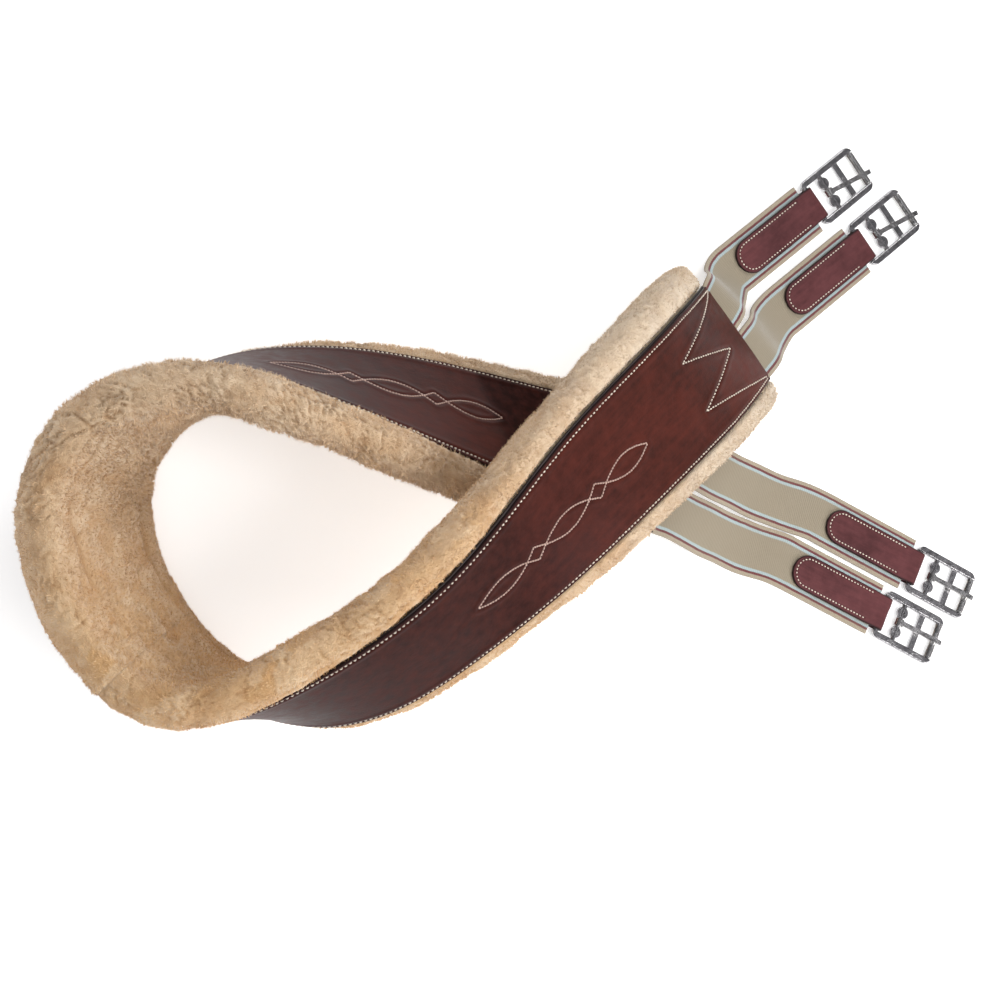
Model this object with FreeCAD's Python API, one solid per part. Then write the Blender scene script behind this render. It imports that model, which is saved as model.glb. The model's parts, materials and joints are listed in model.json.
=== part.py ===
import FreeCAD, Part
import math
import os

# Saddle girth lying on a flat surface, folded once so that arm A crosses over arm B.
# Millimetres, +Z up. The finished model stands on Z = 0 with its box centred on the Z axis.

Vector = FreeCAD.Vector
UP = Vector(0, 0, 1)

# Middle line of the padded body, from the end of arm A round the fold to the end of arm B:
# x, y, height of the seam between leather and lining, roll of the strap in degrees.
BODY_STATIONS = [
    (159, 115, 31, -5),
    (106, 76, 80, 9),
    (15, -1, 114, 20),
    (-69, -80, 117, 42),
    (-158, -134, 88, 67),
    (-225, -131, 55, 116),
    (-278, -76, 39.6, 136),
    (-290, 9, 44.2, 129),
    (-231, 64, 60, 91),
    (-147, 66, 71, 58),
    (-42, 46, 60, 36),
    (45, 27, 44, 22),
    (107, 15, 30, 3),
]
SECTION_SPACING = 20.0

# Leather face: half width at the ends and along the middle, and the length of the flare.
END_HALF_WIDTH = 39.0
MIDDLE_HALF_WIDTH = 41.5
FLARE_LENGTH = 70.0

# Layers of the body, measured from the seam surface towards the leather face.
LEATHER_LOW = 2.2
LEATHER_HIGH = 4.5
WEB_LOW = 0.0
WEB_HIGH = 1.9
BACKING_LOW = -2.3
BACKING_HIGH = -0.3
HIDE_LOW = -3.7
HIDE_HIGH = -2.5
WOOL_LOW = -26.0
WOOL_HIGH = -3.9

# How far each layer stands out past the leather face, sideways and at the ends.
BACKING_MARGIN = 3.0
HIDE_MARGIN = 9.0
WOOL_MARGIN = 18.0
HIDE_END = 4.0
WOOL_END = 9.0
WEB_INSET = 6.0
WEB_END = -44.0

# Elastic webbing, two straps on each end.
ELASTIC_WIDTH = 38.0
ELASTIC_THICKNESS = 1.9
ELASTIC_PITCH = 40.0
ELASTIC_END_GAP = 6.5

# Step down of each end's elastics: share of the way to the level run, and height there.
STEP_DOWN = {
    "A": [(0.30, 27.0), (0.62, 12.0)],
    "B": [(0.20, 24.5), (0.48, 11.0), (0.76, 4.2)],
}

# Leather chape: a strip folded round the buckle's bar, with both halves rounded at the tip.
CHAPE_WIDTH = 25.0
CHAPE_THICKNESS = 2.0
CHAPE_LENGTH = 78.0
CHAPE_GAP = 0.3
FOLD_RADIUS = 2.25
FOLD_RUN = 10.0

# Roller buckle for a 25 mm billet strap.
BUCKLE_LENGTH = 53.0
BUCKLE_WIDTH = 36.0
BUCKLE_CORNER = 6.0
SIDE_BAR = 4.8
SIDE_THICKNESS = 3.8
BAR_RADIUS = 2.2
BAR_INSET = 3.0
PIVOT_AT = 15.5
PIVOT_RADIUS = 1.9
HUMP_RADIUS = 4.4
HUMP_OFFSET = 7.5
HUMP_THICKNESS = 3.0
CROSS_AT = 32.0
CROSS_WIDTH = 4.6
CROSS_THICKNESS = 1.8
ROLLER_AT = 46.6
ROLLER_PIN_RADIUS = 1.8
ROLLER_BORE_RADIUS = 1.86
ROLLER_RADIUS = 3.0
ROLLER_LENGTH = 25.4
TONGUE_WIDTH = 3.4
TONGUE_THICKNESS = 2.6
TONGUE_EYE_WIDTH = 5.2
TONGUE_EYE_RADIUS = 3.7
TONGUE_BORE_RADIUS = 1.96
TONGUE_REST_GAP = 0.3
TONGUE_TIP = 51.5
TONGUE_SKEW = {"A": -10.0, "B": 0.0}
BAR_HEIGHT = 4.35
BUCKLE_DIP = 1.6

# One row per elastic: name, end of the body, side of the middle line (along the strap's width),
# chape bar position on the surface, and heading of the strap there in degrees from +X.
FITTINGS = [
    ("a1", "A", -1, 238.0, 217.0, 38.3),
    ("a2", "A", 1, 276.5, 190.0, 38.3),
    ("b1", "B", 1, 315.5, -40.0, -24.5),
    ("b2", "B", -1, 288.5, -72.5, -24.5),
]


def body_curves():
    """Splines for the middle line and for the roll, both with distance as parameter."""
    points = [Vector(x, y, z) for x, y, z, roll in BODY_STATIONS]
    marks = [0.0]
    for first, second in zip(points, points[1:]):
        marks.append(marks[-1] + first.distanceToPoint(second))
    line = Part.BSplineCurve()
    line.interpolate(Points=points, Parameters=marks)
    rolls = [Vector(mark, row[3], 0) for mark, row in zip(marks, BODY_STATIONS)]
    roll_line = Part.BSplineCurve()
    roll_line.interpolate(Points=rolls, Parameters=marks)
    return line, roll_line, marks[-1]


LINE, ROLL_LINE, BODY_LENGTH = body_curves()


def body_frame(distance):
    """Point on the seam surface, strap direction, width direction and outward normal."""
    along = LINE.tangent(distance)[0]
    point = LINE.value(distance)
    roll = math.radians(ROLL_LINE.value(distance).y)
    level = UP.cross(along).normalize()
    rise = along.cross(level)
    across = level * math.cos(roll) - rise * math.sin(roll)
    return point, along, across, along.cross(across)


def leather_half_width(distance):
    """Half width of the leather face at a distance along the body."""
    from_end = min(max(min(distance, BODY_LENGTH - distance), 0.0), FLARE_LENGTH)
    share = from_end / FLARE_LENGTH
    return END_HALF_WIDTH + (MIDDLE_HALF_WIDTH - END_HALF_WIDTH) * share


def loft(sections):
    """Solid through sections, each a list of corner points in the same order."""
    wires = []
    for corners in sections:
        wires.append(Part.makePolygon(corners + corners[:1]))
    return Part.makeLoft(wires, True)


def section_distances(end_margin):
    """Distances of the sections of a layer that stands out past both ends by a margin."""
    count = round(BODY_LENGTH / SECTION_SPACING)
    marks = [BODY_LENGTH * index / count for index in range(count + 1)]
    if end_margin > 0:
        return [-end_margin] + marks + [BODY_LENGTH + end_margin]
    inside = [mark for mark in marks if 1 < mark + end_margin < BODY_LENGTH + 2 * end_margin - 1]
    if end_margin < 0:
        return [-end_margin] + inside + [BODY_LENGTH + end_margin]
    return marks


def slab(margin, low, high, end_margin):
    """Flat layer that follows the body; margins are measured from the leather face."""
    sections = []
    for distance in section_distances(end_margin):
        point, along, across, normal = body_frame(distance)
        half = leather_half_width(distance) + margin
        corners = [(-half, low), (half, low), (half, high), (-half, high)]
        sections.append([point + across * w + normal * n for w, n in corners])
    return loft(sections)


def wool_outline(half):
    """Half section of the sheepskin pile: a thick pad with raised, rolled rims."""
    return [
        (half + 6, WOOL_LOW),
        (half + 14, WOOL_LOW + 4),
        (half + WOOL_MARGIN, WOOL_LOW + 11),
        (half + WOOL_MARGIN, -7),
        (half + 15.5, -0.5),
        (half + 12, 1),
        (half + 9.6, -1),
        (half + 9.6, WOOL_HIGH),
    ]


def wool_pad():
    """Sheepskin pile under the body."""
    sections = []
    for distance in section_distances(WOOL_END):
        point, along, across, normal = body_frame(distance)
        right = wool_outline(leather_half_width(distance))
        left = [(-w, n) for w, n in reversed(right)]
        sections.append([point + across * w + normal * n for w, n in right + left])
    return loft(sections)


def heading_vector(degrees):
    """Level unit vector at an angle from +X."""
    angle = math.radians(degrees)
    return Vector(math.cos(angle), math.sin(angle), 0)


def tail_frame(end, side, inside):
    """Frame of an elastic's sewn-in tail, a distance inside the body's end."""
    if end == "A":
        point, along, across, normal = body_frame(inside)
        outward = along * -1
    else:
        point, along, across, normal = body_frame(BODY_LENGTH - inside)
        outward = along
    middle = (WEB_LOW + WEB_HIGH) / 2
    centre = point + across * (side * ELASTIC_PITCH / 2) + normal * middle
    return centre, outward, across, normal


def strap_section(frame):
    """Corners of an elastic's section in a frame of centre, width direction and normal."""
    centre, across, normal = frame
    wide = across * (ELASTIC_WIDTH / 2)
    thick = normal * (ELASTIC_THICKNESS / 2)
    return [centre - wide - thick, centre + wide - thick, centre + wide + thick, centre - wide + thick]


def elastic(end, side, bar_x, bar_y, heading):
    """Elastic strap: sewn-in tail, step down to the surface, then a level run to the chape."""
    run = heading_vector(heading)
    bar = Vector(bar_x, bar_y, BAR_HEIGHT)
    flip = -1 if end == "A" else 1
    tail = []
    for inside in (40.0, 30.0, 20.0, 10.0, 0.0):
        centre, outward, across, normal = tail_frame(end, side, inside)
        tail.append((centre, across, normal))
    mouth = centre
    level_start = bar - run * (CHAPE_LENGTH + 5)
    foot = Vector(mouth.x, mouth.y, 0)
    travel = Vector(level_start.x, level_start.y, 0) - foot
    points = [mouth]
    for share, height in STEP_DOWN[end]:
        points.append(foot + travel * share + UP * height)
    points.append(level_start)
    curve = Part.BSplineCurve()
    curve.interpolate(Points=points, InitialTangent=outward, FinalTangent=run)
    level_frame = (level_start, UP.cross(run) * flip, UP)
    bend = [tail[-1]]
    steps = 14
    for index in range(1, steps):
        place = curve.FirstParameter
        place += (curve.LastParameter - curve.FirstParameter) * index / steps
        direction = curve.tangent(place)[0]
        level = UP.cross(direction).normalize() * flip
        share = max(0.0, 1.0 - index / 6.0)
        width_way = (across * share + level * (1 - share)).normalize()
        bend.append((curve.value(place), width_way, direction.cross(width_way) * flip))
    bend.append(level_frame)
    level_end = (bar - run * ELASTIC_END_GAP, level_frame[1], UP)
    strap = loft([strap_section(frame) for frame in tail])
    strap = strap.fuse(loft([strap_section(frame) for frame in bend]))
    strap = strap.fuse(loft([strap_section(frame) for frame in (level_frame, level_end)]))
    return strap.Solids[0]


def rounded_strip(start, stop, half_width, corner):
    """Plan outline of a plate from start to stop along X, with four rounded corners."""
    box = Part.makeBox(stop - start, 2 * half_width, 40, Vector(start, -half_width, -20))
    upright = [edge for edge in box.Edges if abs(edge.tangentAt(edge.FirstParameter).z) > 0.9]
    return box.makeFillet(corner, upright)


def bar_across(at, radius, length, height=0.0):
    """Round bar across the buckle."""
    return Part.makeCylinder(radius, length, Vector(at, -length / 2, height), Vector(0, 1, 0))


def chape():
    """Folded leather strip, bar axis at the origin and the tip towards -X."""
    inner = ELASTIC_THICKNESS / 2 + CHAPE_GAP
    outer = inner + CHAPE_THICKNESS
    fold_outer = FOLD_RADIUS + CHAPE_THICKNESS
    tip = -CHAPE_LENGTH

    def point(x, z):
        return Vector(x, -CHAPE_WIDTH / 2, z)

    edges = [
        Part.LineSegment(point(tip, outer), point(-FOLD_RUN, outer)),
        Part.LineSegment(point(-FOLD_RUN, outer), point(0, fold_outer)),
        Part.Arc(point(0, fold_outer), point(fold_outer, 0), point(0, -fold_outer)),
        Part.LineSegment(point(0, -fold_outer), point(-FOLD_RUN, -outer)),
        Part.LineSegment(point(-FOLD_RUN, -outer), point(tip, -outer)),
        Part.LineSegment(point(tip, -outer), point(tip, -inner)),
        Part.LineSegment(point(tip, -inner), point(-FOLD_RUN, -inner)),
        Part.LineSegment(point(-FOLD_RUN, -inner), point(0, -FOLD_RADIUS)),
        Part.Arc(point(0, -FOLD_RADIUS), point(FOLD_RADIUS, 0), point(0, FOLD_RADIUS)),
        Part.LineSegment(point(0, FOLD_RADIUS), point(-FOLD_RUN, inner)),
        Part.LineSegment(point(-FOLD_RUN, inner), point(tip, inner)),
        Part.LineSegment(point(tip, inner), point(tip, outer)),
    ]
    profile = Part.Face(Part.Wire([edge.toShape() for edge in edges]))
    strip = profile.extrude(Vector(0, CHAPE_WIDTH, 0))
    tip_radius = CHAPE_WIDTH / 2
    outline = Part.makeBox(
        CHAPE_LENGTH - tip_radius + 10, CHAPE_WIDTH + 2, 20,
        Vector(tip + tip_radius, -CHAPE_WIDTH / 2 - 1, -10),
    )
    nose = Part.makeCylinder(tip_radius, 20, Vector(tip + tip_radius, 0, -10))
    return strip.common(outline.fuse(nose)).removeSplitter().Solids[0]


def buckle_frame():
    """Buckle frame, chape bar axis at the origin and the roller end towards +X."""
    start = -BAR_INSET
    stop = BUCKLE_LENGTH - BAR_INSET
    half = BUCKLE_WIDTH / 2
    inner_half = half - SIDE_BAR
    plate = rounded_strip(start, stop, half, BUCKLE_CORNER)
    level = Part.makeBox(200, 200, SIDE_THICKNESS, Vector(-100, -100, -SIDE_THICKNESS / 2))
    rails = plate.common(level)
    inside = Part.makeBox(200, 2 * inner_half, 20, Vector(-100, -inner_half, -10))
    rails = rails.cut(inside)
    long_edges = []
    for edge in rails.Edges:
        if abs(abs(edge.CenterOfMass.z) - SIDE_THICKNESS / 2) < 0.01:
            long_edges.append(edge)
    rails = rails.makeFillet(0.9, long_edges)
    span = 2 * inner_half + 2
    frame = rails.fuse(bar_across(0, BAR_RADIUS, span - 0.8))
    frame = frame.fuse(bar_across(PIVOT_AT, PIVOT_RADIUS, span))
    for side in (-1, 1):
        hump = Part.makeCylinder(
            HUMP_RADIUS, HUMP_THICKNESS,
            Vector(PIVOT_AT, side * HUMP_OFFSET, -HUMP_THICKNESS / 2),
        )
        hump = hump.makeFillet(0.7, [hump.Edges[0], hump.Edges[2]])
        frame = frame.fuse(hump)
    cross = Part.makeBox(
        CROSS_WIDTH, span, CROSS_THICKNESS,
        Vector(CROSS_AT - CROSS_WIDTH / 2, -span / 2, -CROSS_THICKNESS),
    )
    frame = frame.fuse(cross)
    return frame.fuse(bar_across(ROLLER_AT, ROLLER_PIN_RADIUS, span)).Solids[0]


def roller():
    """Tube that turns on the outer bar."""
    tube = bar_across(ROLLER_AT, ROLLER_RADIUS, ROLLER_LENGTH)
    tube = tube.makeFillet(0.5, [tube.Edges[0], tube.Edges[2]])
    return tube.cut(bar_across(ROLLER_AT, ROLLER_BORE_RADIUS, ROLLER_LENGTH + 2)).Solids[0]


def tongue(skew):
    """Buckle tongue: an eye round the pivot bar and a shank that rests over the roller."""
    rest = ROLLER_RADIUS + TONGUE_REST_GAP
    half = TONGUE_WIDTH / 2
    stretch = 1 / math.cos(math.radians(skew))

    def point(x, z):
        return Vector(PIVOT_AT + (x - PIVOT_AT) * stretch, -half, z)

    eye_low = TONGUE_EYE_RADIUS - TONGUE_THICKNESS
    corners = [
        point(PIVOT_AT, eye_low),
        point(ROLLER_AT, rest),
        point(TONGUE_TIP - 1.5, rest - 0.2),
        point(TONGUE_TIP, rest + 0.5),
        point(TONGUE_TIP - 0.6, rest + TONGUE_THICKNESS * 0.7),
        point(ROLLER_AT, rest + TONGUE_THICKNESS),
        point(PIVOT_AT, TONGUE_EYE_RADIUS),
    ]
    shank = Part.Face(Part.makePolygon(corners + corners[:1]))
    shank = shank.extrude(Vector(0, TONGUE_WIDTH, 0))
    outline = rounded_strip(PIVOT_AT - 6, point(TONGUE_TIP, 0).x + 0.2, half, 1.3)
    shank = shank.common(outline)
    shank.rotate(Vector(PIVOT_AT, 0, 0), UP, skew)
    eye = bar_across(PIVOT_AT, TONGUE_EYE_RADIUS, TONGUE_EYE_WIDTH)
    body = shank.fuse(eye).cut(bar_across(PIVOT_AT, TONGUE_BORE_RADIUS, TONGUE_EYE_WIDTH + 2))
    return body.removeSplitter().Solids[0]


def fitting_placement(bar_x, bar_y, heading, dip):
    """Placement that puts the chape bar's axis on its place, nose down by the dip."""
    turn = FreeCAD.Rotation(UP, heading).multiply(FreeCAD.Rotation(Vector(0, 1, 0), dip))
    return FreeCAD.Placement(Vector(bar_x, bar_y, BAR_HEIGHT), turn)


def placed(shape, placement):
    """Copy of a shape moved to its place."""
    copy = shape.copy()
    copy.Placement = placement
    return copy


def build():
    """All nodes by name, in the layout frame."""
    nodes = {
        "leather_face": slab(0.0, LEATHER_LOW, LEATHER_HIGH, 0.0),
        "leather_backing": slab(BACKING_MARGIN, BACKING_LOW, BACKING_HIGH, 0.0),
        "web_core": slab(-WEB_INSET, WEB_LOW, WEB_HIGH, WEB_END),
        "sheepskin_hide": slab(HIDE_MARGIN, HIDE_LOW, HIDE_HIGH, HIDE_END),
        "sheepskin_wool": wool_pad(),
    }
    strip = chape()
    frame = buckle_frame()
    tube = roller()
    pins = {end: tongue(skew) for end, skew in TONGUE_SKEW.items()}
    for name, end, side, bar_x, bar_y, heading in FITTINGS:
        flat = fitting_placement(bar_x, bar_y, heading, 0.0)
        dipped = fitting_placement(bar_x, bar_y, heading, BUCKLE_DIP)
        nodes["elastic_" + name] = elastic(end, side, bar_x, bar_y, heading)
        nodes["chape_" + name] = placed(strip, flat)
        nodes["buckle_frame_" + name] = placed(frame, dipped)
        nodes["roller_" + name] = placed(tube, dipped)
        nodes["tongue_" + name] = placed(pins[end], dipped)
    return nodes


def offset_to_origin(nodes):
    """Shift that centres the model's box on the Z axis and stands it on Z = 0."""
    box = FreeCAD.BoundBox()
    for shape in nodes.values():
        box.add(shape.optimalBoundingBox(False))
    return Vector(-(box.XMin + box.XMax) / 2, -(box.YMin + box.YMax) / 2, -box.ZMin)


def main():
    os.makedirs("parts", exist_ok=True)
    nodes = build()
    shift = offset_to_origin(nodes)
    for name, shape in nodes.items():
        moved = shape.copy()
        moved.translate(shift)
        moved.exportStep("parts/" + name + ".step")


if __name__ == "__main__":
    main()
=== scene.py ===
import itertools
import json
import math
import bpy
import numpy as np
from mathutils import Matrix, Vector


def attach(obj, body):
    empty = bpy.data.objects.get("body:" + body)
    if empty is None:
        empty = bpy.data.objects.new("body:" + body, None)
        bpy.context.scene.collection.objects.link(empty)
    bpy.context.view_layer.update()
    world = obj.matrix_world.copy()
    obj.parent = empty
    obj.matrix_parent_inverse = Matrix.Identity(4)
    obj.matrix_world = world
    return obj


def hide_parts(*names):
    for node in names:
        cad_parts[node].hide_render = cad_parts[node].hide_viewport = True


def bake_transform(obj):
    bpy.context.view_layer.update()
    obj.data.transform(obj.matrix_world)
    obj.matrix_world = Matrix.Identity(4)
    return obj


# Looks of the folded saddle girth. Lengths are in millimetres in the layout frame of the part's
# source until a mesh is made; the mesh is then in metres in the row frame.

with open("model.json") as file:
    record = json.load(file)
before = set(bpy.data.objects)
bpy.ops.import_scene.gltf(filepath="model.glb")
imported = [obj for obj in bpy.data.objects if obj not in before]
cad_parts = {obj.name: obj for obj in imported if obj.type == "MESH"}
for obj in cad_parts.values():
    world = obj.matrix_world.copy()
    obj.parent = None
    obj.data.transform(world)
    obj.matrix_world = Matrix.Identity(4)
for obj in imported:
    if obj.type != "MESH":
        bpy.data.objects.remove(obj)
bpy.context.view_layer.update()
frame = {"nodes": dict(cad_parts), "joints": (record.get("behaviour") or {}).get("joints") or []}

JOINTS = {joint["name"]: joint for joint in frame["joints"]}
BAR_HEIGHT = 4.35
# end of the body, side of its middle line, the tab's bar in x and y, heading there in degrees
FITTINGS = {
    "a1": ("A", -1, 238.0, 217.0, 38.3),
    "a2": ("A", 1, 276.5, 190.0, 38.3),
    "b1": ("B", 1, 315.5, -40.0, -24.5),
    "b2": ("B", -1, 288.5, -72.5, -24.5),
}
# the row frame's offset from the layout frame, in metres
SHIFT = np.array(JOINTS["swing_a1"]["pos_m"]) - np.array([*FITTINGS["a1"][2:4], BAR_HEIGHT]) / 1000
FLOOR_MM = -SHIFT[2] * 1000

# ---- the strap's own shape

# x, y, height and roll in degrees of the strap's middle, from end A to end B
STATIONS = np.array([
    (159, 115, 31, -5), (106, 76, 80, 9), (15, -1, 114, 20), (-69, -80, 117, 42),
    (-158, -134, 88, 67), (-225, -131, 55, 116), (-278, -76, 39.6, 136),
    (-290, 9, 44.2, 129), (-231, 64, 60, 91), (-147, 66, 71, 58), (-42, 46, 60, 36),
    (45, 27, 44, 22), (107, 15, 30, 3),
], float)


def distances(points):
    """Distance of each point of a row of points from the first, along the row."""
    return np.r_[0, np.cumsum(np.linalg.norm(np.diff(points, axis=0), axis=1))]


MARKS = distances(STATIONS[:, :3])
LENGTH = MARKS[-1]
SHOWN_END = LENGTH - 9.0
END_HALF_WIDTH = 39.0
MIDDLE_HALF_WIDTH = 41.5
TAPER = 70.0


def spline_slopes(marks, values, first=None, last=None):
    """Slopes of a clamped cubic spline; if not given, the end ones come from the nearest points."""
    if first is None:
        first = np.polyfit(marks[:4] - marks[0], values[:4], 3)[2]
        last = np.polyfit(marks[-4:] - marks[-1], values[-4:], 3)[2]
    gaps = np.diff(marks)
    matrix = np.eye(len(marks))
    right = np.zeros(values.shape)
    right[0] = first
    right[-1] = last
    for i in range(1, len(marks) - 1):
        before, after = 1 / gaps[i - 1], 1 / gaps[i]
        matrix[i, i - 1:i + 2] = before, 2 * (before + after), after
        right[i] = 3 * (values[i] - values[i - 1]) * before**2
        right[i] += 3 * (values[i + 1] - values[i]) * after**2
    return np.linalg.solve(matrix, right)


def spline_at(marks, values, slopes, places):
    """Values and slopes of a cubic spline at places."""
    i = np.clip(np.searchsorted(marks, places) - 1, 0, len(marks) - 2)
    gap = (marks[i + 1] - marks[i])[:, None]
    t = (places - marks[i])[:, None] / gap
    a, b = values[i], values[i + 1]
    p, q = slopes[i] * gap, slopes[i + 1] * gap
    out = (2 * t**3 - 3 * t**2 + 1) * a + (t**3 - 2 * t**2 + t) * p
    out += (3 * t**2 - 2 * t**3) * b + (t**3 - t**2) * q
    way = (6 * t**2 - 6 * t) * a + (3 * t**2 - 4 * t + 1) * p
    way += (6 * t - 6 * t**2) * b + (3 * t**2 - 2 * t) * q
    return out, way / gap


BODY_SLOPES = spline_slopes(MARKS, STATIONS)


def unit(v):
    """Vectors scaled to length one."""
    return v / np.maximum(np.linalg.norm(v, axis=-1, keepdims=True), 1e-12)


def body_frame(distance):
    """Points on the seam surface, strap, width and outward directions."""
    distance = np.atleast_1d(np.asarray(distance, float))
    value, way = spline_at(MARKS, STATIONS, BODY_SLOPES, distance)
    along = unit(way[:, :3])
    level = unit(np.cross([0, 0, 1.0], along))
    rise = np.cross(along, level)
    roll = np.radians(value[:, 3])[:, None]
    across = level * np.cos(roll) - rise * np.sin(roll)
    return value[:, :3], along, across, np.cross(along, across)


def half_width(distance):
    """Half width of the leather face."""
    from_end = np.clip(np.minimum(distance, LENGTH - distance), 0, TAPER)
    return END_HALF_WIDTH + (MIDDLE_HALF_WIDTH - END_HALF_WIDTH) * from_end / TAPER


def strap_points(distance, across_mm, out_mm):
    """Points on the strap; distance per row, the other two per row and column."""
    point, _, across, out = (values[:, None] for values in body_frame(distance))
    return point + across * across_mm[..., None] + out * out_mm[..., None]


def lift(points, gap):
    """Keeps points at least a gap above the floor."""
    points[..., 2] = np.maximum(points[..., 2], FLOOR_MM + gap)


def by_row(values, like):
    """One number per row, spread over the columns of another grid."""
    return np.broadcast_to(values[:, None], like.shape)


def pair(x, y):
    """Points with two coordinates."""
    return np.stack(np.broadcast_arrays(x, y), -1)


# ---- noise


def hashed(*parts):
    """Numbers from 0 to 1 that depend only on whole-number arrays."""
    low_bits = np.uint64(0xFFFFFFFF)
    total = np.zeros(np.broadcast(*parts).shape, np.uint64)
    for part, prime in zip(parts, (73856093, 19349663, 83492791, 2654435761)):
        total = total ^ (np.asarray(part).astype(np.int64).astype(np.uint64) * np.uint64(prime))
    total = total & low_bits
    for shift, prime in ((15, 2246822519), (13, 3266489917)):
        total = (total ^ (total >> np.uint64(shift))) * np.uint64(prime) & low_bits
    total = total ^ (total >> np.uint64(16))
    return total.astype(float) / 4294967295.0


def noise(points, size, seed):
    """Smooth noise from -1 to 1 with features of about the given size."""
    places = points / size
    base = np.floor(places).astype(np.int64)
    t = smooth_step(places - base, 0, 1)
    out = np.zeros(points.shape[:-1])
    for corner in itertools.product((0, 1), repeat=3):
        share = np.where(corner, t, 1 - t).prod(-1)
        cell = base + np.array(corner)
        out += share * hashed(cell[..., 0], cell[..., 1], cell[..., 2], seed)
    return out * 2 - 1


def layered(points, size, seed):
    """Noise in three octaves."""
    return sum(noise(points, size / 2**k, seed + k) / 2**k for k in range(3)) / 1.75


def clumps(x, y, size, seed):
    """Distances to the nearest clump and to the next one, and the nearest one's own number."""
    cell_x, cell_y = (np.floor(v / size).astype(np.int64) for v in (x, y))
    near = np.full(x.shape, 1e9)
    second = near.copy()
    tag = np.zeros(x.shape)
    for dx, dy in itertools.product((-1, 0, 1), repeat=2):
        cx, cy = cell_x + dx, cell_y + dy
        off_x = (cx + 0.1 + 0.8 * hashed(cx, cy, 11, seed)) * size - x
        off_y = (cy + 0.1 + 0.8 * hashed(cx, cy, 23, seed)) * size - y
        gap = np.hypot(off_x, off_y)
        closer = gap < near
        second = np.where(closer, near, np.minimum(second, gap))
        tag = np.where(closer, hashed(cx, cy, 37, seed), tag)
        near = np.where(closer, gap, near)
    return near, second, tag


def smooth_step(x, low, high):
    """Goes smoothly from 0 at low to 1 at high."""
    t = np.clip((x - low) / (high - low), 0, 1)
    return t * t * (3 - 2 * t)


# ---- meshes


def make_mesh(name, points, faces, marks):
    """Mesh object from layout points in millimetres, with named numbers on its points.

    faces is a list of arrays, each with one row of corner numbers per face.
    """
    mesh = bpy.data.meshes.new(name)
    points = np.asarray(points, float).reshape(-1, 3) / 1000 + SHIFT
    corners = np.concatenate([group.reshape(-1) for group in faces]).astype(np.int32)
    sizes = np.concatenate([np.full(len(group), group.shape[1]) for group in faces])
    mesh.vertices.add(len(points))
    mesh.vertices.foreach_set("co", points.astype(np.float32).ravel())
    mesh.loops.add(len(corners))
    mesh.loops.foreach_set("vertex_index", corners)
    mesh.polygons.add(len(sizes))
    mesh.polygons.foreach_set("loop_start", np.r_[0, np.cumsum(sizes)[:-1]].astype(np.int32))
    mesh.polygons.foreach_set("use_smooth", np.ones(len(sizes), bool))
    mesh.update(calc_edges=True)
    mesh.validate()
    for key, values in marks.items():
        layer = mesh.attributes.new(key, "FLOAT", "POINT")
        layer.data.foreach_set("value", np.asarray(values, np.float32).ravel())
    thing = bpy.data.objects.new(name, mesh)
    bpy.context.scene.collection.objects.link(thing)
    return thing


def ring_faces(rows, columns):
    """Quads of a tube of rows, each a closed ring of columns, and the two end loops."""
    column = np.arange(columns)
    start = np.arange(rows - 1)[:, None] * columns
    first, second = start + column, start + (column + 1) % columns
    quads = np.stack([first, second, second + columns, first + columns], -1).reshape(-1, 4)
    return quads, column[None, ::-1], (rows - 1) * columns + column[None]


def ring_mesh(name, points, marks):
    """Closed solid from rows of closed rings."""
    return make_mesh(name, points, ring_faces(*points.shape[:2]), marks)


def settle(thing, body, material, replaces=()):
    """Puts a piece on its CAD body with its finish."""
    thing.data.materials.append(material)
    if body is not None:
        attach(thing, body)
    if replaces:
        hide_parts(*replaces)
    return thing


# ---- materials


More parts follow.
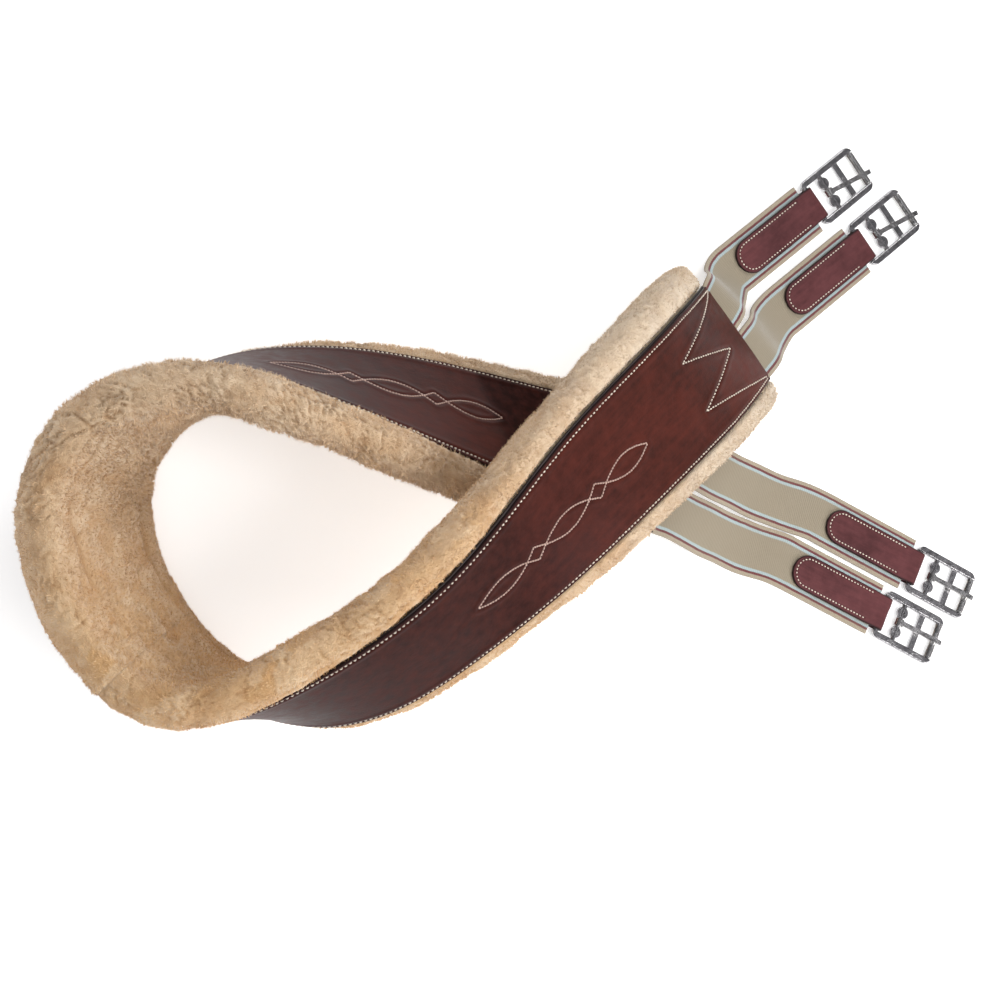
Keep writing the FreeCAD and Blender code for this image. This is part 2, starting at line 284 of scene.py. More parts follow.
class Nodes:
    """Small builder for node trees. A value is a number, a colour or a node's output."""

    def __init__(self, tree):
        self.tree = tree

    def put(self, socket, value):
        if isinstance(value, bpy.types.NodeSocket):
            self.tree.links.new(value, socket)
        elif isinstance(value, tuple) and len(value) == 3 and socket.type == "RGBA":
            socket.default_value = (*value, 1)
        else:
            socket.default_value = value

    def node(self, kind, out=0, settings=None, **inputs):
        made = self.tree.nodes.new("ShaderNode" + kind)
        for key, value in (settings or {}).items():
            setattr(made, key, value)
        for key, value in inputs.items():
            self.put(made.inputs[key.replace("_", " ")], value)
        return made.outputs[out]

    def mark(self, name):
        return self.node("Attribute", out=2, settings={"attribute_name": name})

    def place(self):
        return self.node("TexCoord", out=3)

    def fill(self, kind, *values, **settings):
        """Node whose first sockets take the values in order."""
        made = self.tree.nodes.new("ShaderNode" + kind)
        for key, value in settings.items():
            setattr(made, key, value)
        for socket, value in zip(made.inputs, values):
            self.put(socket, value)
        return made.outputs[0]

    def calc(self, operation, *values):
        return self.fill("Math", *values, operation=operation)

    def times(self, a, b):
        return self.calc("MULTIPLY", a, b)

    def plus(self, a, b):
        return self.calc("ADD", a, b)

    def times_plus(self, a, b, c):
        return self.calc("MULTIPLY_ADD", a, b, c)

    def wave(self, value):
        return self.calc("SINE", value)

    def vector(self, x, y):
        return self.node("CombineXYZ", X=x, Y=y)

    def noise(self, vector, scale, detail=3.0, roughness=0.5):
        return self.node("TexNoise", Vector=vector, Scale=scale, Detail=detail, Roughness=roughness)

    def cells(self, vector, scale, feature="F1"):
        return self.node("TexVoronoi", settings={"feature": feature}, Vector=vector, Scale=scale)

    def remap(self, value, low, high, to_low=0.0, to_high=1.0):
        return self.fill("MapRange", value, low, high, to_low, to_high)

    def ramp(self, value, stops):
        made = self.tree.nodes.new("ShaderNodeValToRGB")
        self.put(made.inputs[0], value)
        steps = made.color_ramp.elements
        while len(steps) < len(stops):
            steps.new(0.5)
        for step, (at, colour) in zip(steps, stops):
            step.position = at
            step.color = (*colour, 1)
        return made.outputs[0]

    def mix(self, share, a, b):
        made = self.tree.nodes.new("ShaderNodeMix")
        made.data_type = "RGBA"
        for place, value in ((0, share), (6, a), (7, b)):
            self.put(made.inputs[place], value)
        return made.outputs[2]

    def bump(self, height, strength, distance, **normal):
        return self.node("Bump", Height=height, Strength=strength, Distance=distance, **normal)


class Look(Nodes):
    """Node material of one finish."""

    def __init__(self, name):
        self.material = bpy.data.materials.new(name)
        self.material.use_nodes = True
        super().__init__(self.material.node_tree)
        self.surface = self.tree.nodes["Principled BSDF"]

    def finish(self, **inputs):
        for key, value in inputs.items():
            self.put(self.surface.inputs[key.replace("_", " ")], value)
        return self.material


def leather_look(name, base, dark, sheen):
    """Bridle leather: fine grain, pull-up clouding, darker worked edges and stitch lines, and painted
    shade and shadow from the shade mark.
    """
    look = Look(name)
    place = look.place()
    edge = look.mark("edge")
    stitch = look.mark("stitch")
    cloud = look.noise(place, 14.0, 4.0, 0.6)
    fine = look.noise(place, 160.0, 3.0, 0.6)
    stretched = look.vector(look.times(look.mark("along"), 0.006),
                            look.times(look.mark("across"), 0.05))
    streak = look.noise(stretched, 6.0, 4.0, 0.65)
    tone = look.times_plus(cloud, 0.9, look.times(streak, 0.5))
    colour = look.mix(look.remap(tone, 0.5, 0.88), dark, base)
    # painted shade and painted shadow: the shade mark darkens the colour
    shade = look.mark("shade")
    colour = look.mix(look.times(shade, 0.96), colour, tuple(0.15 * c for c in base))
    colour = look.mix(look.remap(fine, 0.3, 0.7, 0, 0.22), colour, tuple(1.7 * c for c in base))
    colour = look.mix(look.remap(edge, 0.0, 1.6, 0.85, 0.0), colour, (0.012, 0.009, 0.009))
    colour = look.mix(look.remap(stitch, 0.0, 1.3, 0.55, 0.0), colour, tuple(0.4 * c for c in base))
    grain = look.cells(place, 780.0, "SMOOTH_F1")
    pores = look.cells(place, 1500.0)
    creases = look.noise(stretched, 22.0, 5.0, 0.6)
    height = look.times_plus(grain, 0.7, look.times(pores, 0.4))
    height = look.times_plus(creases, 0.8, height)
    normal = look.bump(height, 0.32, 0.00022)
    rough = look.remap(look.plus(cloud, fine), 0.7, 1.3, sheen, sheen + 0.16)
    # painted shade also dulls the gloss
    gloss = look.remap(shade, 0.5, 1.0, 0.085, 0.04)
    return look.finish(Base_Color=colour, Roughness=rough, Normal=normal, Specular_IOR_Level=gloss,
                       Specular_Tint=(0.95, 0.88, 1.0))


def black_look():
    """Black backing leather whose bead is slightly paler on top, from rubbing and a painted highlight.
    """
    look = Look("black_backing_leather")
    place = look.place()
    cloud = look.noise(place, 60.0, 4.0, 0.6)
    rub = look.remap(look.mark("rub"), 0.4, 1.0)
    rub = look.times(rub, look.remap(cloud, 0.35, 0.7))
    # paler top of the bead: rubbing and a painted highlight
    colour = look.mix(rub, (0.022, 0.016, 0.016), (0.06, 0.05, 0.05))
    grain = look.cells(place, 900.0, "SMOOTH_F1")
    normal = look.bump(look.plus(grain, look.noise(place, 500.0, 3.0)), 0.3, 0.0002)
    rough = look.remap(cloud, 0.3, 0.7, 0.5, 0.65)
    return look.finish(Base_Color=colour, Normal=normal, Roughness=rough, Specular_IOR_Level=0.15)


def thread_look(name, colour, dark):
    """Waxed thread: two twisted plies with painted shade in the groove between them and at the ends
    where it sinks into its holes, and a little dirt.
    """
    look = Look(name)
    turns = look.times(look.mark("along"), 5.5)
    twist = look.wave(look.plus(turns, look.mark("around")))
    dirt = look.noise(look.place(), 140.0, 3.0)
    # painted shade at the ends, where the thread sinks into its holes
    shade = look.mix(look.remap(look.mark("end"), 0.45, 1.0, 0.0, 0.75), colour, dark)
    # painted shade in the groove between the plies
    shade = look.mix(look.remap(twist, -1.0, 0.1, 0.45, 0.0), shade, dark)
    shade = look.mix(look.remap(dirt, 0.45, 0.75, 0.0, 0.4), shade, dark)
    return look.finish(Base_Color=shade, Roughness=0.55, Sheen_Weight=0.3,
                       Normal=look.bump(twist, 0.6, 0.00012))


def elastic_look():
    """Ribbed elastic webbing with a dark red and a pale blue line along each edge."""
    look = Look("striped_elastic_webbing")
    across = look.mark("across")
    along = look.mark("along")
    wobble = look.times(look.calc("SUBTRACT", look.noise(look.place(), 260.0, 2.0), 0.5), 0.5)
    side = look.plus(look.calc("ABSOLUTE", across), wobble)
    beige, cream = (0.255, 0.215, 0.155), (0.32, 0.27, 0.20)
    red, blue = (0.125, 0.024, 0.03), (0.33, 0.41, 0.42)
    # millimetres from the middle line
    stops = [
        (0.0, beige), (12.2, beige), (12.9, blue), (14.3, blue), (14.7, red), (16.0, red),
        (16.4, cream), (18.3, cream), (20.0, (0.22, 0.175, 0.125)),
    ]
    colour = look.ramp(look.times(side, 1 / 20), [(at / 20, tone) for at, tone in stops])
    ribs = look.wave(look.times(along, 2 * math.pi / 1.45))
    warp = look.wave(look.times(across, 2 * math.pi / 0.9))
    weave = look.times(ribs, look.times_plus(warp, 0.25, 0.75))
    # painted shade in the valleys between the ribs
    colour = look.mix(look.remap(weave, -1.0, 0.2, 0.3, 0.0), colour, (0.17, 0.135, 0.09))
    soil = look.noise(look.place(), 22.0, 5.0, 0.65)
    colour = look.mix(look.remap(soil, 0.5, 0.8, 0.0, 0.3), colour, (0.23, 0.18, 0.12))
    fuzz = look.noise(look.place(), 1400.0, 2.0)
    normal = look.bump(look.times_plus(fuzz, 0.5, weave), 0.55, 0.00016)
    return look.finish(Base_Color=colour, Roughness=0.82, Sheen_Weight=0.25, Normal=normal)


def web_look():
    """Plain strap webbing, in a coarse twill."""
    look = Look("strap_webbing")
    along, across = look.mark("along"), look.mark("across")
    slant = look.wave(look.times(look.plus(along, across), 2.2))
    thread = look.wave(look.times(across, 6.0))
    weave = look.times_plus(thread, 0.5, slant)
    colour = look.mix(look.remap(weave, -1.2, 1.2), (0.33, 0.28, 0.2), (0.56, 0.5, 0.4))
    return look.finish(Base_Color=colour, Roughness=0.85, Normal=look.bump(weave, 0.6, 0.0003))


def hide_look():
    """Suede side of the sheepskin."""
    look = Look("sheepskin_hide_suede")
    place = look.place()
    nap = look.noise(place, 700.0, 4.0, 0.7)
    cloud = look.noise(place, 25.0, 4.0)
    colour = look.mix(look.remap(cloud, 0.3, 0.7), (0.52, 0.4, 0.26), (0.68, 0.55, 0.38))
    colour = look.mix(look.remap(nap, 0.4, 0.7, 0.0, 0.4), colour, (0.8, 0.7, 0.52))
    return look.finish(Base_Color=colour, Roughness=0.9, Sheen_Weight=0.4,
                       Normal=look.bump(nap, 0.5, 0.0004))


def wool_look(name, fibres):
    """Sheared sheepskin: warm tan in the loop, paler on the arms, darker down in the pile, partly the
    roots' own colour and partly painted shade in the crevices.
    """
    look = Look(name)
    place = look.place()
    warm = look.mark("warm")
    depth = look.mark("depth")
    clump = look.mark("clump")
    tip_colour = look.mix(warm, (0.64, 0.55, 0.45), (0.66, 0.41, 0.19))
    root_colour = look.mix(warm, (0.41, 0.27, 0.15), (0.36, 0.175, 0.06))
    # darker roots: partly their own colour, partly painted shade down in the pile
    colour = look.mix(depth, root_colour, tip_colour)
    patch = look.noise(place, 34.0, 5.0, 0.65)
    colour = look.mix(look.remap(patch, 0.46, 0.66, 0.0, 0.6), colour,
                      look.mix(warm, (0.56, 0.42, 0.28), (0.58, 0.31, 0.115)))
    pale = look.times(look.remap(clump, 0.0, 1.0, 0.62, 0.0), look.calc("POWER", depth, 1.6))
    colour = look.mix(pale, colour, (0.82, 0.67, 0.48))
    if fibres:
        return look.finish(Base_Color=colour, Roughness=0.75, Sheen_Weight=0.2,
                           Specular_IOR_Level=0.25)
    strand = look.noise(look.vector(look.times(look.mark("along"), 0.35),
                                    look.mark("around")), 1.6, 5.0, 0.7)
    # painted shade between the strands
    colour = look.mix(look.remap(strand, 0.35, 0.6, 0.25, 0.0), colour, root_colour)
    fine = look.noise(place, 900.0, 3.0, 0.7)
    height = look.plus(strand, look.times(fine, 0.6))
    return look.finish(Base_Color=colour, Roughness=0.95, Sheen_Weight=0.4,
                       Normal=look.bump(height, 0.9, 0.0012), Specular_IOR_Level=0.15)


def steel_look(name, tone, rough):
    """Polished steel with fine scratches and slight tarnish."""
    look = Look(name)
    place = look.place()
    stretch = look.node("Mapping", Vector=place, Scale=(1.0, 1.0, 9.0), Rotation=(0.4, 0.7, 0.6))
    dent = look.noise(place, 190.0, 2.0)
    scratch = look.noise(stretch, 900.0, 5.0, 0.75)
    cloud = look.noise(place, 110.0, 4.0, 0.6)
    colour = look.mix(look.remap(cloud, 0.35, 0.7), tuple(0.7 * c for c in tone), tone)
    spread = look.times_plus(scratch, 0.22, rough)
    spread = look.times_plus(cloud, 0.14, look.calc("SUBTRACT", spread, 0.12))
    normal = look.bump(scratch, 0.12, 0.00008, Normal=look.bump(dent, 0.8, 0.0007))
    return look.finish(Base_Color=colour, Metallic=1.0, Roughness=spread, Normal=normal)


LEATHER = leather_look("burgundy_bridle_leather", (0.073, 0.0155, 0.0098), (0.026, 0.0095, 0.0072), 0.33)
TAB_LEATHER = leather_look("tab_bridle_leather", (0.108, 0.036, 0.038), (0.05, 0.019, 0.02), 0.34)
BLACK = black_look()
THREAD = thread_look("cream_thread", (0.74, 0.66, 0.55), (0.22, 0.13, 0.09))
FINE_THREAD = thread_look("fine_beige_thread", (0.50, 0.34, 0.28), (0.26, 0.13, 0.10))
ELASTIC = elastic_look()
WEB = web_look()
HIDE = hide_look()
WOOL = wool_look("sheepskin_pile", False)
FIBRE = wool_look("sheepskin_fibres", True)
STEEL = steel_look("dark_polished_steel", (0.50, 0.49, 0.50), 0.16)
BRIGHT = steel_look("bright_worn_steel", (0.68, 0.67, 0.66), 0.15)

# ---- stitch lines on the leather

MOTIF_LENGTH = {"lobe": 42.0, "diamond": 17.0}


def motif_lines(start, first_centre, last_centre):
    """The two lines of the stitched chain: three almonds joined by two diamonds."""
    kinds = ["lobe", "diamond", "lobe", "diamond", "lobe"]
    total = sum(MOTIF_LENGTH[kind] for kind in kinds)
    t = np.linspace(0, 1, 40, endpoint=False)
    shapes = {"lobe": 6.4 * np.sin(np.pi * t) ** 0.92, "diamond": -5.4 * (1 - np.abs(2 * t - 1))}
    lines = []
    for side in (1, -1):
        at = 0.0
        path = []
        for kind in kinds:
            path.append(pair(at + t * MOTIF_LENGTH[kind], side * shapes[kind]))
            at += MOTIF_LENGTH[kind]
        path = np.concatenate(path + [np.array([[at, 0.0]])])
        centre = first_centre + (last_centre - first_centre) * path[:, 0] / total
        lines.append(pair(start + path[:, 0], path[:, 1] + centre))
    return lines


def zigzag(along):
    """Corners of the W of stitches at one end of the leather."""
    return pair(along, [-35.6, -17.0, 1.5, 19.0, 35.6])


BORDER_INSET = {-1: 3.0, 1: 2.2}
DISTANCES = np.linspace(4.0, SHOWN_END - 4.0, 2200)
BORDERS = [
    pair(DISTANCES, side * (half_width(DISTANCES) - inset))
    for side, inset in BORDER_INSET.items()
]
CORNERS = np.array([4.0, 93.0, 31.0, 93.0, 4.0])
ZIGZAGS = [zigzag(CORNERS), zigzag(SHOWN_END - CORNERS)]
MOTIFS = motif_lines(154.0, 4.0, -2.0) + motif_lines(802.0, -1.0, 4.0)


def resample(path, pitch):
    """Evenly spaced points along a path of distance and width, with the path's direction."""
    marks = distances(path)
    count = max(2, int(round(marks[-1] / pitch)))
    at = (np.arange(count) + 0.5) * marks[-1] / count
    spot, ahead, behind = (
        np.stack([np.interp(at + step, marks, path[:, k]) for k in (0, 1)], -1)
        for step in (0, 0.3, -0.3)
    )
    return spot, unit(ahead - behind)


def stitches(name, centres, ways, ups, half_length, radius, sink):
    """Row of short thread capsules, each bowed down into its holes."""
    t = np.linspace(-1, 1, 7)
    wide = np.array([0.25, 0.8, 1.0, 1.0, 1.0, 0.8, 0.25])[:, None] * radius
    drop = -sink * np.abs(t[:, None]) ** 2.5
    angle = np.arange(6) * np.pi / 3
    sides = unit(np.cross(ways, ups))
    ups = unit(np.cross(sides, ways))
    centres, ways, ups, sides = (v[:, None, None] for v in (centres, ways, ups, sides))
    points = (
        centres
        + ways * (t * half_length)[:, None, None]
        + ups * (drop + wide * np.sin(angle))[..., None]
        + sides * (wide * 1.15 * np.cos(angle))[..., None]
    )
    shape = points.shape[:3]
    quads, first_end, last_end = ring_faces(len(t), len(angle))
    fans = [[end[0], end[k], end[k + 1]] for end in (first_end[0], last_end[0]) for k in range(1, 5)]
    step = np.arange(len(points))[:, None, None] * len(t) * len(angle)
    faces = [(quads + step).reshape(-1, 4), (np.array(fans) + step).reshape(-1, 3)]
    marks = {
        "along": np.broadcast_to((t * half_length)[:, None], shape),
        "around": np.broadcast_to(angle, shape),
        "end": np.broadcast_to(np.abs(t)[:, None], shape),
    }
    return make_mesh(name, points, faces, marks)


def leather_height(distance, across):
    """Height of the leather's outer surface over the seam surface."""
    share = across / half_width(distance)
    return 4.5 + 0.7 * (1 - share**2)


def leather_stitches(name, paths, pitch, half_length, radius, above, material):
    """Stitches along paths on the leather face."""
    spots, ways = (np.concatenate(x) for x in zip(*(resample(path, pitch) for path in paths)))
    point, along, across, out = body_frame(spots[:, 0])
    index = np.arange(len(spots))
    wobble = (hashed(index, 5, 7) - 0.5) * 0.24
    turn = (hashed(index, 3, 9) - 0.5) * 0.14
    centres = point + across * (spots[:, 1] + wobble)[:, None]
    centres = centres + out * (leather_height(spots[:, 0], spots[:, 1]) + above)[:, None]
    way = ways + pair(-ways[:, 1], ways[:, 0]) * turn[:, None]
    directions = unit(along * way[:, :1] + across * way[:, 1:])
    thing = stitches(name, centres, directions, out, half_length, radius, 0.55)
    return settle(thing, "pad", material)


def nearest(places, path):
    """Distance of places (rows of distance, width) to a path."""
    spot = resample(path, 1.2)[0]
    best = np.zeros(len(places))
    for start in range(0, len(places), 20000):
        gaps = places[start:start + 20000, None] - spot
        best[start:start + 20000] = np.sqrt((gaps**2).sum(-1).min(1))
    return best


# ---- leather, backing and core


def flat_section(half, thick, radius, count):
    """Closed ring of a flat strip with rounded edges, from its two half sizes."""
    inner = half - radius
    bend = np.linspace(0, np.pi, 7)[1:-1]
    bulge, rise = inner + radius * np.sin(bend), thick * np.cos(bend)
    top = np.linspace(-inner, inner, count)
    bottom = np.linspace(inner, -inner, max(6, count // 6))
    return np.concatenate([
        pair(top, thick),
        pair(bulge, rise),
        pair(bottom, -thick),
        pair(-bulge, -rise),
    ])


def strip(margin, low, high, step, columns, end_margin):
    """Grid of a strip that follows the body: its rows, width, height and marks."""
    rows = int(round((SHOWN_END + 2 * end_margin) / step))
    s = np.linspace(-end_margin, SHOWN_END + end_margin, rows)
    inside = np.minimum(s + end_margin, SHOWN_END + end_margin - s)
    ring = flat_section(1.0, 1.0, 0.03, columns)
    reach = half_width(s)[:, None] + margin
    w = ring[:, 0] * reach
    close = np.sqrt(np.clip(inside / 1.2, 0.12, 1))[:, None]
    n = (low + high) / 2 + (high - low) / 2 * ring[:, 1] * close
    edge = np.minimum(reach - np.abs(w), inside[:, None])
    return s, w, n, {"along": by_row(s, w), "across": w, "edge": edge}


def build_leather():
    """Leather face: crowned, lumpy, dented along its stitches, with painted shade in the loop and low on
    arm A and a painted shadow under arm A.
    """
    s, w, n, marks = strip(0.0, 2.2, 4.5, 1.3, 84, 0.0)
    half = half_width(s)[:, None]
    facing = flat_section(1.0, 1.0, 0.03, 84)[:, 1] > 0.9
    n = np.where(facing, n + 0.7 * np.clip(1 - (w / half) ** 2, 0, 1), n)
    points = strap_points(s, w, n)
    along = marks["along"]
    distance = np.full(w.shape, 30.0)
    for side, inset in BORDER_INSET.items():
        distance = np.minimum(distance, np.abs(w - side * (half - inset)))
    distance = distance.ravel()
    flat = pair(along.ravel(), w.ravel())
    for path in ZIGZAGS + MOTIFS:
        zone = (flat[:, 0] > path[:, 0].min() - 4) & (flat[:, 0] < path[:, 0].max() + 4)
        distance[zone] = np.minimum(distance[zone], nearest(flat[zone], path))
    distance = distance.reshape(w.shape)
    dent = 0.42 * np.exp(-(distance**2))
    lumps = 0.32 * layered(points, 46.0, 5) + 0.1 * layered(points, 9.0, 8)
    puff = 0.28 * np.exp(-(((distance - 2.6) / 1.7) ** 2))
    move = np.where(n > 3.6, lumps + puff - dent, 0.0)
    points = points + body_frame(s)[3][:, None] * move[..., None]
    marks["stitch"] = distance
    # painted shade in the loop and low on arm A, and a painted shadow of arm A where it hangs over arm B
    shade = smooth_step(along, 250, 350) * (1 - smooth_step(along, 840, 960))
    lower = smooth_step(along, 150, 310) * (1 - smooth_step(along, 430, 520))
    painted_cast_shadow = smooth_step(along + 0.3 * w, 950, 964) * (1 - smooth_step(along, 1050, 1080))
    marks["shade"] = np.maximum(np.maximum(shade * 0.54, lower * 0.80), painted_cast_shadow * 0.97)
    thing = ring_mesh("leather_face_strip", points, marks)
    settle(thing, "pad", LEATHER, ["leather_face"])


def build_backing():
    """Black backing whose beaded edges stand up round the leather as piping."""
    s = np.linspace(-0.8, SHOWN_END + 0.8, 700)
    half = half_width(s)[:, None]
    arm_a = 1 - smooth_step(s, 300, 430)[:, None]
    angle = np.linspace(-0.5 * np.pi, 0.95 * np.pi, 11)
    bead_w, bead_n = 0.8 * np.cos(angle), 2.3 + 0.8 * np.sin(angle)
    # upper arc of the bead: rubbing and a painted highlight; the same mask ripples it
    worn = np.clip(np.sin(angle), 0, 1)
    inner = np.linspace(1.0, -1.0, 25)[1:-1]
    # width, height, and rubbing with a painted highlight, of each part of the ring, in order round it
    parts = [
        (half - 3.0, -2.3, 0.0),
        (half - 1.4 + 1.2 * arm_a + bead_w, bead_n, worn),
        (inner * (half - 2.2), -0.3, 0.0),
        (-(half - 1.3 + 1.7 * arm_a + bead_w[::-1]), bead_n[::-1], worn[::-1]),
        (3.0 - half, -2.3, 0.0),
        (inner[::-1] * (half - 4.0), -2.3, 0.0),
    ]
    parts = [np.broadcast_arrays(*part) for part in parts]
    w, n, rub = (np.concatenate(x, 1) for x in zip(*parts))
    close = np.sqrt(np.clip(np.minimum(s + 0.8, SHOWN_END + 0.8 - s) / 1.4, 0.2, 1))[:, None]
    points = strap_points(s, w, 0.2 + (n - 0.2) * close)
    wave = 0.22 * noise(points, 16.0, 41) + 0.1 * noise(points, 5.0, 42)
    points = points + body_frame(s)[3][:, None] * (wave * rub)[..., None]
    thing = ring_mesh("backing_strip", points, {"rub": rub, "along": by_row(s, w), "across": w})
    settle(thing, "pad", BLACK, ["leather_backing"])


def build_inner_layers():
    """Webbing core and the hide under the pile, both mostly hidden."""
    s, w, n, marks = strip(-6.0, 0.1, 1.8, 3.0, 40, -44.0)
    n = n + 0.1 * np.sin(w * 1.6) * (n > 1.2)
    thing = ring_mesh("web_core_strip", strap_points(s, w, n), marks)
    settle(thing, "pad", WEB, ["web_core"])
    s, w, n, marks = strip(1.5, -3.7, -2.6, 3.0, 60, 4.0)
    wave = 0.25 * layered(strap_points(s, w, n), 14.0, 61)
    thing = ring_mesh("hide_strip", strap_points(s, w, n + wave * (n > -3.2)), marks)
    settle(thing, "pad", HIDE, ["sheepskin_hide"])


# ---- the sheepskin


def chaikin(ring, times):
    """Rounds the corners of a closed ring."""
    for _ in range(times):
        after = np.roll(ring, -1, axis=0)
        ring = np.stack([0.75 * ring + 0.25 * after, 0.25 * ring + 0.75 * after], 1)
        ring = ring.reshape(-1, 2)
    return ring


def even_ring(ring, count):
    """Closed ring with evenly spaced points."""
    closed = np.vstack([ring, ring[:1]])
    marks = distances(closed)
    at = np.arange(count) * marks[-1] / count
    return np.stack([np.interp(at, marks, closed[:, k]) for k in (0, 1)], -1), marks[-1]


def outward_normals(points):
    """Outward normals of a grid of closed rings."""
    along = np.gradient(points, axis=0)
    around = (np.roll(points, -1, axis=1) - np.roll(points, 1, axis=1)) / 2
    normals = unit(np.cross(along, around))
    inward = (normals * (points - points.mean(1, keepdims=True))).sum() < 0
    return -normals if inward else normals


PILE_INSET = 2.2
PILE_SIDE = [
    (6, -26), (14, -22.5), (18, -15.5), (18, -8), (16.2, -1.5), (12, 2.2), (7.0, 2.6),
    (3.0, 2.0), (1.9, -0.8), (0.6, -3.1), (-6, -4.3),
]
LIP = np.array([(470.0, 37.0), (494.0, 40.0), (560.0, 40.5), (618.0, 38.0), (670.0, 39.5),
                (716.0, 34.0), (735.0, 30.0)])
PARTING = np.array([(700.0, -44.0), (678.0, -38.0), (654.0, -38.5), (628.0, -32.0), (600.0, -31.0),
                    (572.0, -25.0), (548.0, -24.0)])


def warmth(distance):
    """How warm the wool's colour is: pale on the arms, deep in the lower part of the loop."""
    at = [0, 120, 230, 330, 420, 560, 660, 760, 860, 960, 1100]
    value = [0.05, 0.12, 0.6, 1.0, 1.0, 1.0, 0.7, 0.4, 0.6, 0.4, 0.2]
    return np.interp(distance, at, value)


def pile_ring(columns):
    """Cross-section of the pile at the body's middle, its length, and where leather covers it."""
    right = np.array(PILE_SIDE, float)
    offsets = np.vstack([right, right[::-1] * [-1, 1]])
    offsets[:, 0] += np.repeat([MIDDLE_HALF_WIDTH, -MIDDLE_HALF_WIDTH], len(right))
    ring, total = even_ring(chaikin(offsets, 3), columns)
    tangent = np.roll(ring, -1, axis=0) - np.roll(ring, 1, axis=0)
    outward = unit(pair(tangent[:, 1], -tangent[:, 0]))
    if ((ring - ring.mean(0)) * outward).sum() < 0:
        outward = -outward
    wide = np.abs(ring[:, 0]) - MIDDLE_HALF_WIDTH
    covered = (ring[:, 1] > -6.5) & (wide < 1.6)
    inset = np.where(ring[:, 1] < -8.0, PILE_INSET, PILE_INSET * smooth_step(wide, 3.0, 9.0))
    return ring - outward * inset[:, None], total, covered


def pile_outline(s, ring):
    """Width and height of the pile before its relief, rounded at both ends."""
    edge = half_width(s)[:, None]
    x = ring[:, 0]
    w = x + np.sign(x) * (edge - MIDDLE_HALF_WIDTH) * np.clip(np.abs(x) / 20, 0, 1)
    inside = np.minimum(s - s[0], s[-1] - s)
    close = np.sqrt(1 - (1 - np.clip(inside / 9.0, 0, 1)) ** 2)[:, None]
    w = w * (0.93 + 0.07 * close)
    n = -8.0 + (ring[:, 1] + 8.0) * (0.4 + 0.6 * close)
    # the rim beside the leather stands up along the loop
    raised = 0.6 * smooth_step(s, 330, 440) + 0.4 * smooth_step(s, 520, 620)
    raised = raised * (1 - 0.55 * smooth_step(s, 880, 960))
    rim = smooth_step(-w - edge, 0.5, 3.5) * smooth_step(n, -10, 0) * raised[:, None]
    n = n + 4.2 * rim
    w = w + 2.0 * rim
    # broader at end A's outer side, drawn in beside arm A at end B
    w = w - 5.5 * smooth_step(-w - edge, 1.0, 9.0) * (1 - smooth_step(s, 60, 230))[:, None]
    tuck = smooth_step(s, SHOWN_END - 60, SHOWN_END - 15)[:, None]
    return w + 12.5 * smooth_step(-w - edge, 0.5, 6.0) * tuck, n


def long_partings(points, along, w, n):
    """The two long partings of the loop: under the pile's lip and across its middle."""
    lines = np.zeros(w.shape)
    zone = (n < -14.0) & (np.abs(w) < 48) & (along > 440) & (along < 750)
    wander = 3.2 * noise(points, 14.0, 83) + 1.6 * noise(points, 5.0, 84)
    spot = pair(along[zone], w[zone]) + wander[zone][:, None]
    lip = 0.75 * np.exp(-((nearest(spot, LIP) / 1.5) ** 2))
    lines[zone] = np.maximum(lip, np.exp(-((nearest(spot, PARTING) / 1.5) ** 2)))
    return lines * smooth_step(noise(points, 20.0, 86), -0.6, 0.1)


